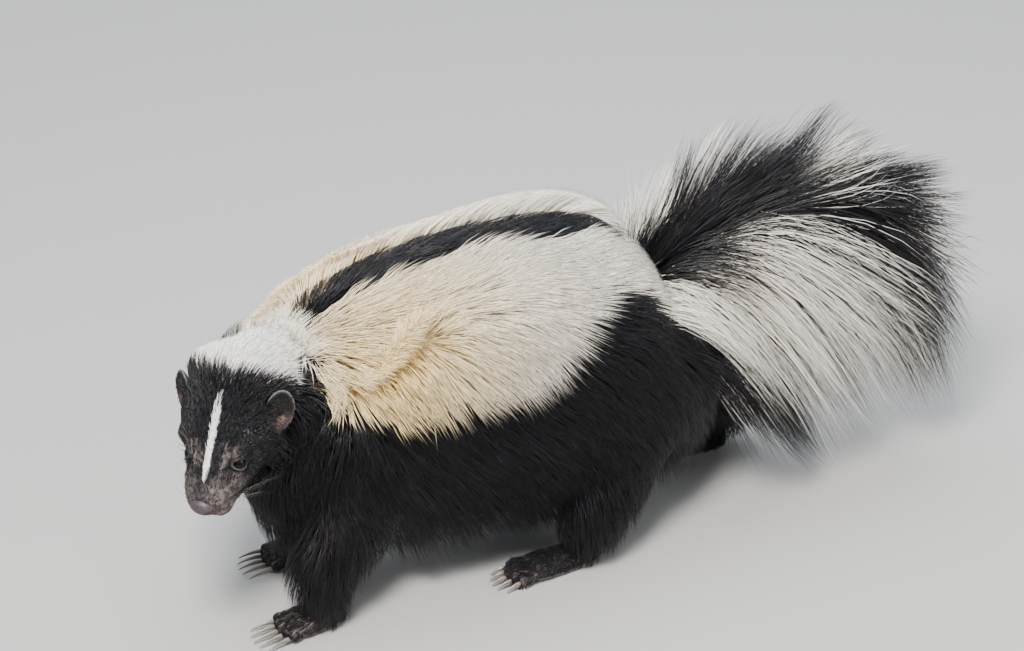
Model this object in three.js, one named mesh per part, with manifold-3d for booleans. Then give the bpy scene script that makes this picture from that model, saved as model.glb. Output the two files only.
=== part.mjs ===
// A striped skunk at life size, walking with its head low and turned to its left.
// Millimetres, +Z up, head towards -X, the animal's left side towards -Y, paws on Z = 0.
// Every size is taken over the coat, out to the tips of the hair.
import * as THREE from "three";
import { mergeVertices } from "three/addons/utils/BufferGeometryUtils.js";
import Module from "manifold-3d";

const wasm = await Module();
wasm.setup();

// Clearance left between neighbouring pieces
const GAP = 0.4;

// Trunk
const BACK_HEIGHT = 230;
const BELLY_HEIGHT = 30;
const SHOULDER_WIDTH = 122;
const HIP_WIDTH = 150;

// Head: where the muzzle's tip is, and how far the head is turned to the left and dropped
const MUZZLE_TIP = [-208, -55, 107];
const HEAD_TURN = 42;
const HEAD_DROP = 45;

// Eyes and ears, from the muzzle's tip: how far back, aside and up
const EYE_AT = { back: 32, aside: 14.6, up: 4 };
const EYE_RADIUS = 5.2;
const EAR_AT = { back: 66, aside: 31, up: 5 };
const EAR = { height: 31, width: 20, thickness: 8 };

// Paws: the two kinds, and where the middle of each paw stands
const FORE_PAW = { length: 46, width: 27, height: 15, claw: 15 };
const HIND_PAW = { length: 66, width: 25, height: 15, claw: 9 };
const PAWS = {
  front_left: { kind: FORE_PAW, at: [-142, -40], toe_out: 4 },
  front_right: { kind: FORE_PAW, at: [-124, 36], toe_out: -4 },
  hind_left: { kind: HIND_PAW, at: [14, -47], toe_out: 2 },
  hind_right: { kind: HIND_PAW, at: [146, 46], toe_out: -6 },
};
const TOES = 5;

function finish(color, roughness) {
  return new THREE.MeshStandardMaterial({ color, roughness, metalness: 0 });
}
const BLACK_COAT = 0x17161a;
const WHITE_COAT = 0xe9e3d4;
const BARE_SKIN = 0x8d7f80;
const NOSE_SKIN = 0x7d5f62;
const EYE_GLOSS = 0x0a0706;
const CLAW_HORN = 0xa79c8c;

// Merges the doubled vertices of a geometry, so that it is one closed surface.
function closed(geometry) {
  const bare = geometry.clone();
  bare.deleteAttribute("normal");
  bare.deleteAttribute("uv");
  return mergeVertices(bare, 1e-3);
}

function solidOf(geometry, place = new THREE.Matrix4()) {
  const whole = closed(geometry.clone().applyMatrix4(place));
  const vertProperties = new Float32Array(whole.attributes.position.array);
  const triVerts = new Uint32Array(whole.index.array);
  return new wasm.Manifold(new wasm.Mesh({ numProp: 3, vertProperties, triVerts }));
}

function piece(name, solid, color, roughness = 0.6) {
  const { vertProperties, triVerts } = solid.getMesh();
  const geometry = new THREE.BufferGeometry();
  geometry.setAttribute("position", new THREE.BufferAttribute(new Float32Array(vertProperties), 3));
  geometry.setIndex(new THREE.BufferAttribute(new Uint32Array(triVerts), 1));
  geometry.computeVertexNormals();
  const mesh = new THREE.Mesh(geometry, finish(color, roughness));
  mesh.name = name;
  return mesh;
}

// A closed form swept through sections. Each section has its centre, at, and its half-sizes: wide
// to both sides, up and down. Its ends are domes over the share cap of its length. The outline is
// squarer as roundness rises above 2, and under is the same for its lower half. On a leg, which
// runs downwards, up is towards the tail and down towards the head.
function loft(sections, options) {
  const { around, along, cap = 0.16, roundness = 2.2, under = roundness, grow = 0 } = options;
  const centres = new THREE.CatmullRomCurve3(sections.map((s) => new THREE.Vector3(...s.at)));
  const sizes = new THREE.CatmullRomCurve3(sections.map((s) => new THREE.Vector3(s.wide, s.up, s.down)));
  const form = new THREE.SphereGeometry(1, around, along);
  const place = form.attributes.position;
  const domed = (share) => (share >= cap ? 1 : Math.sqrt(1 - (1 - share / cap) ** 2));
  const squared = (x, power) => Math.sign(x) * Math.abs(x) ** (2 / power);
  for (let i = 0; i < place.count; i++) {
    const share = (1 - THREE.MathUtils.clamp(place.getY(i), -1, 1)) / 2;
    const turn = 2 * Math.PI * form.attributes.uv.getX(i);
    const tangent = centres.getTangent(share);
    const up = new THREE.Vector3(0, -1, 0).cross(tangent).normalize();
    const aside = tangent.clone().cross(up);
    const size = sizes.getPoint(share);
    const open = domed(share) * domed(1 - share);
    const isAbove = Math.sin(turn) > 0;
    const power = isAbove ? roundness : under;
    const across = (size.x + grow) * open * squared(Math.cos(turn), power);
    const tall = ((isAbove ? size.y : size.z) + grow) * open * squared(Math.sin(turn), power);
    const point = centres.getPoint(share).addScaledVector(aside, across).addScaledVector(up, tall);
    point.addScaledVector(tangent, grow * (2 * share - 1));
    place.setXYZ(i, point.x, point.y, point.z);
  }
  return form;
}

// A section of the trunk or the tail, by the heights of its top, middle and bottom
function standing(x, top, middle, bottom, wide, y = 0) {
  return { at: [x, y, middle], wide, up: top - middle, down: middle - bottom };
}

function ellipsoid(at, [x, y, z], around) {
  return new THREE.SphereGeometry(1, around, Math.round(around * 0.7)).scale(x, y, z).translate(...at);
}

function trunkForm(grow = 0) {
  const top = (share) => share * BACK_HEIGHT;
  const shoulder = SHOULDER_WIDTH / 2;
  const hip = HIP_WIDTH / 2;
  const sections = [
    standing(-160, top(0.74), 124, 78, 0.68 * shoulder, -3),
    standing(-130, top(0.85), 117, BELLY_HEIGHT + 9, 0.92 * shoulder),
    standing(-88, top(0.94), 123, BELLY_HEIGHT, 1.06 * shoulder),
    standing(-35, top(1), 130, BELLY_HEIGHT, 0.93 * hip),
    standing(20, top(0.985), 128, BELLY_HEIGHT, hip),
    standing(72, top(0.91), 120, BELLY_HEIGHT, 1.02 * hip),
    standing(112, top(0.83), 119, BELLY_HEIGHT + 17, 0.86 * hip),
    standing(136, top(0.74), 131, BELLY_HEIGHT + 62, 0.56 * hip),
  ];
  return solidOf(loft(sections, { around: 24, along: 18, cap: 0.12, under: 3, grow }));
}

function neckForm(grow = 0) {
  const sections = [
    { at: [-168, -19, 159], wide: 30, up: 26, down: 30 },
    { at: [-150, -11, 155], wide: 40, up: 32, down: 42 },
    { at: [-128, -4, 150], wide: 48, up: 37, down: 52 },
    { at: [-100, 0, 140], wide: 54, up: 44, down: 58 },
  ];
  return solidOf(loft(sections, { around: 20, along: 10, cap: 0.2, grow }));
}

// The head, in its own frame: muzzle tip at the origin, nose towards -X, crown towards +Z
function headForm(grow = 0) {
  const sections = [
    { at: [1.5, 0, 0.5], wide: 8.5, up: 6.5, down: 8 },
    { at: [8, 0, 0], wide: 12.5, up: 9, down: 12 },
    { at: [19, 0, -1], wide: 16.5, up: 12, down: 16 },
    { at: [31, 0, -2], wide: 21.5, up: 16, down: 20 },
    { at: [46, 0, -3], wide: 29, up: 20, down: 25 },
    { at: [62, 0, -3], wide: 33, up: 23, down: 29 },
    { at: [78, 0, -2], wide: 32, up: 25, down: 31 },
    { at: [98, 0, 0], wide: 26, up: 23, down: 28 },
  ];
  return solidOf(loft(sections, { around: 20, along: 15, cap: 0.1, roundness: 2, under: 2.4, grow }));
}

function jawForm(grow = 0) {
  const sections = [
    { at: [7, 0, -13], wide: 8, up: 4, down: 5 },
    { at: [16, 0, -16], wide: 12, up: 5, down: 6 },
    { at: [30, 0, -19], wide: 17, up: 6, down: 7.5 },
    { at: [48, 0, -22], wide: 22, up: 7, down: 8 },
  ];
  return solidOf(loft(sections, { around: 12, along: 8, cap: 0.2, grow }));
}

function noseForm(grow = 0) {
  return solidOf(ellipsoid([1.2, 0, 2.2], [3.8 + grow, 7 + grow, 5.4 + grow], 12));
}

function eyeForm(side, grow = 0) {
  const radius = EYE_RADIUS + grow;
  return solidOf(ellipsoid([EYE_AT.back, -side * EYE_AT.aside, EYE_AT.up], [radius, radius, radius], 12));
}

// An ear is a rounded leaf that stands back and out from the head, dished on its front.
function earForm(side) {
  const height = new THREE.Vector3(0.8, -0.25 * side, 0.5).normalize();
  const aside = height.clone().cross(new THREE.Vector3(-0.35, -0.6 * side, 0.72)).normalize();
  const stand = new THREE.Matrix4().makeBasis(aside.clone().cross(height), aside, height);
  stand.setPosition(EAR_AT.back, -side * EAR_AT.aside, EAR_AT.up);
  const half = EAR.thickness / 2;
  const leaf = ellipsoid([0, 0, 0], [half, EAR.width / 2, EAR.height / 2], 14);
  const dish = ellipsoid([half, 0, -0.04 * EAR.height], [half, 0.39 * EAR.width, 0.4 * EAR.height], 12);
  return solidOf(leaf, stand).subtract(solidOf(dish, stand));
}

// How far each toe stands aside of the paw's middle line, and how far forward it reaches
function toesOf({ length, width }) {
  const middle = (TOES - 1) / 2;
  return Array.from({ length: TOES }, (_, i) => {
    const fan = (i - middle) / middle;
    return { fan, aside: fan * width * 0.42, reach: length * (0.5 - 0.07 * fan * fan) };
  });
}

// A paw in its own frame: toes towards -X, its middle over the origin, its sole just below Z = 0
function pawForm(kind, grow = 0) {
  const { length, width, height } = kind;
  const palm = [
    { at: [length * 0.46, 0, height * 0.4], wide: width * 0.27, up: height * 0.42, down: height * 0.52 },
    { at: [length * 0.2, 0, height * 0.42], wide: width * 0.36, up: height * 0.62, down: height * 0.56 },
    { at: [-length * 0.12, 0, height * 0.4], wide: width * 0.47, up: height * 0.5, down: height * 0.54 },
    { at: [-length * 0.3, 0, height * 0.34], wide: width * 0.46, up: height * 0.38, down: height * 0.46 },
  ];
  let form = solidOf(loft(palm, { around: 12, along: 7, grow }));
  for (const { aside, reach } of toesOf(kind)) {
    const toe = [
      { at: [-length * 0.16, aside * 0.72, height * 0.4], wide: 2.6, up: 3, down: 3 },
      { at: [-length * 0.32, aside * 0.92, height * 0.42], wide: 3, up: 3.2, down: 3.6 },
      { at: [-reach, aside, height * 0.26], wide: 2.8, up: 3, down: 4.2 },
    ];
    form = form.add(solidOf(loft(toe, { around: 6, along: 5, cap: 0.2, grow })));
  }
  return form;
}

// A claw is a bent cone that grows from a toe's tip and ends just over the floor.
function clawForm(kind, { aside, reach, fan }) {
  const root = kind.height * 0.3;
  const sections = [0, 0.35, 0.7, 1].map((share) => {
    const taper = 1.7 - 1.3 * share;
    const height = root * (1 - share ** 1.7) + 1.4 * share;
    const x = -reach - 1 - kind.claw * share;
    return { at: [x, aside + fan * kind.claw * 0.12 * share, height], wide: 0.8 * taper, up: taper, down: taper };
  });
  return solidOf(loft(sections, { around: 6, along: 6, cap: 0.12 }));
}

// A leg runs down from the trunk to its paw, thick with hair.
function legForm({ kind, at: [x, y] }) {
  const side = Math.sign(y);
  const fore = [
    { at: [-106, side * 27, 108], wide: 22, up: 30, down: 30 },
    { at: [-112, side * 35, 76], wide: 24, up: 32, down: 31 },
    { at: [x + 9, y, 40], wide: 23, up: 27, down: 25 },
    { at: [x + 10, y, 12], wide: 16.5, up: 18, down: 17 },
  ];
  const hind = [
    { at: [76, side * 33, 112], wide: 26, up: 36, down: 38 },
    { at: [0.5 * x + 48, side * 42, 74], wide: 27, up: 40, down: 40 },
    { at: [x + 24, y, 38], wide: 24, up: 33, down: 34 },
    { at: [x + 20, y, 10], wide: 17, up: 22, down: 20 },
  ];
  return solidOf(loft(kind === FORE_PAW ? fore : hind, { around: 14, along: 10 }));
}

// The tail is carried out behind, its long hair spread like a fan and hanging almost to the floor.
function tailForm(grow = 0) {
  const sections = [
    standing(102, 205, 172, 145, 24, 3),
    standing(128, 228, 164, 104, 37, 3),
    standing(163, 242, 154, 52, 45),
    standing(203, 243, 148, 15, 47, -4),
    standing(243, 222, 142, 22, 41, -8),
    standing(281, 188, 136, 42, 30, -13),
    standing(314, 152, 126, 70, 19, -18),
    standing(338, 126, 114, 92, 9, -21),
  ];
  return solidOf(loft(sections, { around: 18, along: 14, cap: 0.08, roundness: 2, grow }));
}

const radians = THREE.MathUtils.degToRad;
const headTurn = new THREE.Euler(0, radians(-HEAD_DROP), radians(HEAD_TURN), "ZYX");
const headPlace = new THREE.Matrix4().makeRotationFromEuler(headTurn).setPosition(...MUZZLE_TIP);
const underFloor = solidOf(new THREE.BoxGeometry(1200, 600, 200).translate(0, 0, -100));

function headPieces() {
  const group = new THREE.Group();
  headPlace.decompose(group.position, group.quaternion, group.scale);
  let head = headForm().subtract(jawForm(GAP)).subtract(noseForm(GAP));
  for (const [name, side] of [["left", 1], ["right", -1]]) {
    head = head.subtract(eyeForm(side, GAP));
    group.add(piece("eye_" + name, eyeForm(side), EYE_GLOSS, 0.05));
    group.add(piece("ear_" + name, earForm(side).subtract(headForm(GAP)), BLACK_COAT));
  }
  group.add(piece("head", head, BLACK_COAT));
  group.add(piece("lower_jaw", jawForm(), BLACK_COAT));
  group.add(piece("nose", noseForm(), NOSE_SKIN, 0.4));
  return group;
}

// The leg, paw and claws of each limb, clear of the body
function limbPieces(body) {
  const group = new THREE.Group();
  for (const [name, limb] of Object.entries(PAWS)) {
    const { kind, at, toe_out } = limb;
    const place = new THREE.Matrix4().makeRotationZ(radians(toe_out)).setPosition(...at, 0);
    const pawCut = pawForm(kind, GAP);
    const leg = legForm(limb).subtract(body).subtract(pawCut.transform(place.elements));
    group.add(piece("leg_" + name, leg.subtract(underFloor), BLACK_COAT));
    const paw = new THREE.Group();
    place.decompose(paw.position, paw.quaternion, paw.scale);
    paw.add(piece("paw_" + name, pawForm(kind).subtract(underFloor), BARE_SKIN));
    toesOf(kind).forEach((toe, i) => {
      paw.add(piece(`claw_${name}_${i + 1}`, clawForm(kind, toe).subtract(pawCut), CLAW_HORN, 0.45));
    });
    group.add(paw);
  }
  return group;
}

function skunk() {
  const group = new THREE.Group();
  const trunkCut = trunkForm(GAP).add(trunkForm());
  const headCut = headForm(GAP).transform(headPlace.elements);
  const body = trunkCut.add(headCut).add(neckForm(GAP)).add(tailForm(GAP));
  group.add(headPieces());
  group.add(piece("neck", neckForm().subtract(headCut).subtract(trunkCut), WHITE_COAT));
  group.add(piece("trunk", trunkForm().subtract(headCut), BLACK_COAT));
  group.add(piece("tail", tailForm().subtract(trunkCut), WHITE_COAT));
  group.add(limbPieces(body));
  const box = new THREE.Box3().setFromObject(group, true);
  const middle = box.getCenter(new THREE.Vector3());
  group.position.set(-middle.x, -middle.y, -box.min.z);
  return group;
}

export default skunk();
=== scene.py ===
"""A striped skunk at life size, walking: one skin, eyes, nose, claws and a coat of solid tufts."""

import math

import bmesh
import bpy
import numpy as np
from mathutils import Matrix, Vector, noise
from mathutils.bvhtree import BVHTree
from mathutils.kdtree import KDTree


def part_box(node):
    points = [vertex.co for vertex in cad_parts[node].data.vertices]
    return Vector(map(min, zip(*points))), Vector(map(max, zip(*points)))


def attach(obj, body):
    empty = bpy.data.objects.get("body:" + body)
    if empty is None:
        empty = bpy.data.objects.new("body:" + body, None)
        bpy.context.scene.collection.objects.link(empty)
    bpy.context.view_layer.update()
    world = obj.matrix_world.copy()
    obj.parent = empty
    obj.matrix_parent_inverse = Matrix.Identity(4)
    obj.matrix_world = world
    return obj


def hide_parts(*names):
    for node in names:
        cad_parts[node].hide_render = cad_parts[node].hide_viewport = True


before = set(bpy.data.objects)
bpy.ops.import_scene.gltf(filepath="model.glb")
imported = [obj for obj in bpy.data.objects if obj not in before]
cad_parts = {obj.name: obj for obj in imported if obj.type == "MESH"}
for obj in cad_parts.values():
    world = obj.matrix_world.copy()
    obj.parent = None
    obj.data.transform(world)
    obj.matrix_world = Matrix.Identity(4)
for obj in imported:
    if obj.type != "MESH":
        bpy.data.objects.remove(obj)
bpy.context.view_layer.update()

bl_info = {
    "name": "Striped Skunk",
    "version": (1, 0, 0),
    "blender": (4, 5, 0),
    "location": "View3D > Sidebar > Skunk",
    "description": "Builds a life-size striped skunk with a solid coat of fur",
    "category": "Add Mesh",
}

MM = 0.001
SIDES = {"left": -1, "right": 1}


# Frames. The animal is worked in millimetres with its middle at X = 0, and then moved into the row's frame.
def unit(rows):
    """Rows of vectors, made one long."""
    return rows / np.maximum(np.linalg.norm(rows, axis=-1, keepdims=True), 1e-9)


def smooth(low, high, x):
    """0 below low, 1 above high and an even slope between; it falls if low is above high."""
    t = np.clip((x - low) / (high - low), 0, 1)
    return t * t * (3 - 2 * t)


# The muzzle's tip, how far the head is turned and lowered, and the eyes and ears in the head's frame.
MUZZLE_TIP = np.array([-208.0, -55.0, 107.0])
HEAD_TURN, HEAD_DROP = math.radians(42), math.radians(45)
HEAD_AXES = np.array((Matrix.Rotation(HEAD_TURN, 3, "Z") @ Matrix.Rotation(-HEAD_DROP, 3, "Y")).transposed())
EYE_AT = np.array([32.0, 14.6, 4.0])
EYE_RADIUS = 5.2
EAR_AT = np.array([66.0, 31.0, 5.0])
EAR_HALF_WIDTH, EAR_HALF_HEIGHT = 9.2, 14.2


def from_head(local):
    """Points of the head's frame (back from the muzzle's tip, right, up) in the animal's frame."""
    return np.asarray(local, float) @ HEAD_AXES + MUZZLE_TIP


def to_head(points):
    return (points - MUZZLE_TIP) @ HEAD_AXES.T


def aside(local, side):
    """A place given for the right side of the head, on either side."""
    return np.asarray(local, float) * (1, side, 1)


_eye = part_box("eye_left")
SHIFT = np.array((_eye[0] + _eye[1]) / 2) / MM - from_head(aside(EYE_AT, -1))


# Forms
def spline(points, t):
    """Points at the shares t of a smooth curve through the rows of points."""
    points = np.asarray(points, float)
    spans = len(points) - 1
    place = np.clip(t, 0, 1) * spans
    i = np.minimum(place.astype(int), spans - 1)
    w = (place - i)[:, None]
    padded = np.vstack([2 * points[0] - points[1], points, 2 * points[-1] - points[-2]])
    a, b, c, d = (padded[i + k] for k in range(4))
    return b + 0.5 * w * (c - a + w * (2 * a - 5 * b + 4 * c - d + w * (3 * (b - c) + d - a)))


class Form:
    """A rounded form swept through sections of (x, y, z, half width, height above, depth below)."""

    def __init__(self, name, sections, cap=0.16, roundness=2.2, under=None, in_head=False):
        self.name, self.cap, self.roundness, self.under = name, cap, roundness, under or roundness
        self.sections = np.array(sections, float)
        if in_head:
            self.sections[:, :3] = from_head(self.sections[:, :3])
        self.up_hint = HEAD_AXES[1] if in_head else np.array([0.0, 1.0, 0.0])

    def axis(self, t):
        """Centres, tangents, up and sideways directions and sizes at the shares t of the length."""
        centre = spline(self.sections[:, :3], t)
        tangent = unit(spline(self.sections[:, :3], t + 0.01) - spline(self.sections[:, :3], t - 0.01))
        up = unit(np.cross(tangent, self.up_hint))
        return centre, tangent, up, np.cross(tangent, up), spline(self.sections[:, 3:], t)

    def add_to(self, bm, around=48, along=36):
        verts = bmesh.ops.create_uvsphere(bm, u_segments=around, v_segments=along, radius=1)["verts"]
        ball = np.array([v.co for v in verts])
        share = (1 - np.clip(ball[:, 2], -1, 1)) / 2
        turn = np.arctan2(ball[:, 1], ball[:, 0])
        centre, _, up, side, size = self.axis(share)

        def dome(x):
            return np.sqrt(np.clip(1 - (1 - np.minimum(x / self.cap, 1)) ** 2, 0, 1))

        opening = dome(share) * dome(1 - share)
        above = np.sin(turn) > 0
        power = 2 / np.where(above, self.roundness, self.under)
        across = size[:, 0] * opening * np.sign(np.cos(turn)) * np.abs(np.cos(turn)) ** power
        height = np.where(above, size[:, 1], size[:, 2])
        tall = height * opening * np.sign(np.sin(turn)) * np.abs(np.sin(turn)) ** power
        for v, place in zip(verts, centre + across[:, None] * side + tall[:, None] * up):
            v.co = place


def blob(bm, place, radii, axes=np.eye(3), detail=24, shape=None):
    """An ellipsoid at place with its radii along the rows of axes; shape may move its points first."""
    verts = bmesh.ops.create_uvsphere(bm, u_segments=detail, v_segments=detail, radius=1)["verts"]
    ball = np.array([v.co for v in verts]) * radii
    if shape:
        ball = shape(ball)
    for v, p in zip(verts, ball @ axes + place):
        v.co = p


# Each paw's X and Y and its turn in degrees, and each kind's length, width and height and its claws' length.
LEGS = {
    "front_left": (-142, -40, 4),
    "front_right": (-124, 36, -4),
    "hind_left": (14, -47, 2),
    "hind_right": (146, 46, -6),
}
PAW_SIZES = {"front": (46, 27, 15, 15), "hind": (66, 25, 15, 9)}
TOES = 5


def paw_frame(name):
    """The paw's place on the floor and the rows that turn its own axes into the animal's."""
    x, y, turn = LEGS[name]
    return np.array([x, y, 0.0]), np.array(Matrix.Rotation(math.radians(turn), 3, "Z").transposed())


def toes_of(name):
    """For each toe: how far out it fans, how far aside it stands and how far forward it reaches."""
    length, width = PAW_SIZES[name.split("_")[0]][:2]
    fans = np.linspace(-1, 1, TOES)
    return [(fan, fan * width * 0.42, length * (0.5 - 0.07 * fan * fan)) for fan in fans]


def paw_forms(name):
    length, width, height, _ = PAW_SIZES[name.split("_")[0]]
    place, axes = paw_frame(name)
    palm = [
        (length * 0.46, 0, height * 0.4, width * 0.25, height * 0.4, height * 0.5),
        (length * 0.2, 0, height * 0.42, width * 0.34, height * 0.6, height * 0.54),
        (-length * 0.12, 0, height * 0.4, width * 0.45, height * 0.48, height * 0.52),
        (-length * 0.3, 0, height * 0.34, width * 0.44, height * 0.36, height * 0.44),
    ]
    rows = [palm]
    for _, out, reach in toes_of(name):
        rows.append(
            [
                (-length * 0.16, out * 0.72, height * 0.4, 2.6, 3, 3),
                (-length * 0.32, out * 0.92, height * 0.42, 2.8, 3.1, 3.6),
                (-reach, out, height * 0.26, 2.7, 2.9, 4.1),
            ]
        )
    forms = []
    for sections in rows:
        sections = np.array(sections, float)
        sections[:, :3] = sections[:, :3] @ axes + place
        forms.append(Form("paw_" + name, sections))
    return forms


def leg_form(name):
    x, y, _ = LEGS[name]
    side = math.copysign(1, y)
    fore = [
        (-104, side * 30, 106, 22, 26, 26),
        (-110, side * 35, 74, 17, 22, 21),
        (x + 9, y, 40, 11, 14, 13),
        (x + 10, y, 12, 9, 11, 10),
    ]
    hind = [
        (76, side * 34, 110, 24, 34, 36),
        (0.5 * x + 48, side * 40, 74, 20, 28, 27),
        (x + 26, y, 36, 12, 17, 15),
        (x + 22, y, 11, 9, 12, 11),
    ]
    return Form("leg_" + name, fore if name.startswith("front") else hind)


TRUNK = Form(
    "trunk",
    [
        (-150, -4, 126, 30, 32, 34),
        (-128, 0, 120, 44, 58, 64),
        (-88, 0, 123, 53, 76, 77),
        (-35, 0, 128, 58, 84, 81),
        (20, 0, 126, 62, 82, 79),
        (70, 0, 119, 62, 75, 72),
        (102, 0, 122, 47, 56, 54),
        (120, 0, 134, 28, 32, 34),
    ],
    cap=0.12,
    under=2.6,
)
NECK = Form(
    "neck",
    [
        (-168, -19, 158, 22, 20, 24),
        (-150, -11, 153, 30, 23, 34),
        (-128, -4, 147, 38, 28, 44),
        (-100, 0, 138, 45, 36, 50),
    ],
    cap=0.2,
)
HEAD = Form(
    "head",
    [
        (1.6, 0, 0.3, 8.2, 6.2, 7.6),
        (8, 0, -0.4, 13.2, 8.6, 11),
        (19, 0, -1.4, 17.6, 11.4, 14.5),
        (31, 0, -2, 22, 15, 18.5),
        (46, 0, -3, 28.4, 18.6, 23),
        (62, 0, -3, 31.6, 21, 26.5),
        (78, 0, -3, 30.5, 21.5, 28),
        (98, 0, -2, 25, 19, 26),
    ],
    cap=0.1,
    roundness=2,
    under=2.3,
    in_head=True,
)
JAW = Form(
    "head",
    [
        (7, 0, -12.5, 7.6, 4, 4.4),
        (16, 0, -15, 11.6, 5, 5.2),
        (30, 0, -17.6, 16, 6, 6),
        (48, 0, -20, 20, 7, 6),
    ],
    cap=0.2,
    in_head=True,
)
TAIL = Form(
    "tail",
    [
        (96, 2, 150, 26, 26, 26),
        (122, 2, 164, 15, 14, 16),
        (160, 0, 178, 11, 11, 11),
        (200, -2, 186, 10, 10, 10),
        (238, -6, 182, 8.5, 8, 8),
        (266, -9, 172, 5, 5, 5),
    ],
    roundness=2,
)
FORMS = [TRUNK, NECK, HEAD, TAIL] + [leg_form(n) for n in LEGS] + [paw_forms(n)[0] for n in LEGS]
LABELS = {f.name: i for i, f in enumerate(FORMS)}
EAR_LABEL = len(FORMS)


def limb_labels(prefix):
    return [i for n, i in LABELS.items() if n.startswith(prefix)]


def ear_axes(side):
    """Rows: the way an ear faces, its width and its height, in the animal's frame."""
    height = unit(aside([0.8, 0.25, 0.5], side))
    width = unit(np.cross(height, aside([-0.35, 0.6, 0.72], side)))
    return np.array([np.cross(width, height), width, height]) @ HEAD_AXES


# Sampling the forms
def nearest_forms(points, sharpness=5.0):
    """For each point: the form it is on, a soft weight for every form, and each form's tangent there."""
    spans, tangents = [], []
    for form in FORMS:
        centre, tangent, _, _, size = form.axis(np.linspace(0, 1, 22))
        reach = np.linalg.norm(points[:, None] - centre[None], axis=2) / size.mean(axis=1)[None]
        k = reach.argmin(axis=1)
        spans.append(reach[np.arange(len(points)), k])
        tangents.append(tangent[k])
    spans = np.array(spans).T
    weight = np.exp(-sharpness * (spans - spans.min(axis=1, keepdims=True)))
    weight /= weight.sum(axis=1, keepdims=True)
    label = spans.argmin(axis=1)
    for side in SIDES.values():
        local = (points - from_head(aside(EAR_AT, side))) @ ear_axes(side).T
        on_ear = ((local / (5.5, 11.5, 17)) ** 2).sum(axis=1) < 1
        outer = np.abs(to_head(points)[:, 1]) > 27
        label[on_ear & outer] = EAR_LABEL
    return label, weight, np.stack(tangents, axis=1)


def ripple(points, scale, seed=0.0):
    """Smooth noise, about -1 to 1, with features scale millimetres across."""
    rows = points / scale + seed
    return np.array([noise.noise(Vector(r)) for r in rows]) * 1.6


# Markings
# The white stripes' lower edge: its height by X. Then the half width by X of the black stripe between them,
# the blaze's ends back from the muzzle's tip, the cap's front edge, the parting of the shoulder's hair and
# the middle of its cream.
WHITE_EDGE = (
    [-150, -130, -112, -85, -66, -41, -15, 0, 25, 40, 58, 83, 100, 125],
    [176, 160, 149, 150, 152, 154, 158, 163, 178, 186, 182, 164, 148, 140],
)
MIDDLE_HALF = ([-146, -136, -112, -80, 0, 110], [0, 6, 12, 16, 18, 19])
BLAZE, BLAZE_HALF = (16, 62), 2.0
CAP_BACK, CAP_BOW = 74.5, (0.0085, 0.004)
WHORL = np.array([[-110.0, 44.0, 157.0], [-64.0, 44.0, 177.0]])
CREAM_AT, CREAM_SPREAD = np.array([-92.0, 52.0, 164.0]), 58


def from_whorl(points):
    """The way from the line that the shoulder's hair is parted along, on the nearer side."""
    side = np.where(points[:, 1:2] < 0, (1, -1, 1), 1)
    start, way = WHORL[0], WHORL[1] - WHORL[0]
    along = np.clip(((points * side - start) @ way) / (way @ way), 0, 1)[:, None]
    return points - (start + along * way) * side


def tail_share(points):
    """How far along the tail's core each point is, from 0 at its root to 1."""
    first, last = TAIL.sections[[0, -1], 0].tolist()
    return np.clip((points[:, 0] - first) / (last - first), 0, 1)


def tail_angle(points):
    """Degrees round the tail's core from its top, positive towards the animal's left."""
    centre, _, up, _, _ = TAIL.axis(tail_share(points))
    off = points - centre
    return np.degrees(np.arctan2(-off[:, 1], (off * up).sum(axis=1)))


def markings(points, label):
    """How white the coat is at each point, from 0 to 1."""
    x, y, z = points.T
    back, right, up = to_head(points).T
    wobble = ripple(points, 14) * 2.2 + ripple(points, 5, 7) * 1.2
    first, last = BLAZE
    span = np.clip((back - first) / (last - first), 0, 1)
    half = BLAZE_HALF * np.minimum(1, (span / 0.2) ** 0.6) * np.minimum(1, (1 - span) / 0.2) ** 0.7
    blaze = smooth(0.5, -0.5, np.abs(right) - half) * (up > 0) * (back > first) * (back < last)
    cap_edge = CAP_BACK + np.where(right < 0, *CAP_BOW) * right**2
    on_top = np.maximum(smooth(-6, 0, up + wobble), smooth(166, 170, z))
    cap = smooth(-1.2, 1.2, back + wobble * 0.6 - cap_edge) * on_top
    edge = np.interp(x, *WHITE_EDGE)
    stripe = smooth(-2, 2, z + wobble * 1.5 - edge)
    middle = np.interp(x, *MIDDLE_HALF)
    stripe *= smooth(-1.5, 1.5, np.abs(y + 2) + wobble * 0.5 - middle) + (x < MIDDLE_HALF[0][0])
    white = np.where(label == LABELS["head"], np.maximum(blaze, cap), np.clip(stripe, 0, 1))
    nape = smooth(-2, 2, z + wobble * 0.6 - np.where(y < -26, 172, 163))
    white = np.where(label == LABELS["neck"], nape, white)
    white = np.where(label == EAR_LABEL, 0, white)
    limb = np.isin(label, limb_labels(("leg", "paw")))
    white = np.where(limb & (z < 140), 0, white)
    angle = np.abs(tail_angle(points))
    streak = ripple(points, 9, 21) * 0.9
    near = y < TAIL.sections[3, 1]
    top, below = np.where(near, 50, 24), np.interp(x, [96, 130, 170, 230], [105, 118, 140, 150])
    band = smooth(top - 7, top + 7, angle + streak * 10) * smooth(below + 10, below - 10, angle + streak * 10)
    far_end = smooth(114, 166, x)
    share = np.where(near, 0.98 - 0.46 * far_end, 0.85 - 0.4 * far_end) * band
    share = share - 0.3 * smooth(92, 50, angle) * smooth(140, 175, x) * band
    share = np.maximum(share, 0.41 * smooth(150, 190, x))
    tail_white = (streak * 0.6 + 0.5 < share).astype(float)
    return np.where(label == LABELS["tail"], tail_white, white)


# Meshes from arrays
def to_row(points):
    return (np.asarray(points) + SHIFT) * MM


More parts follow.
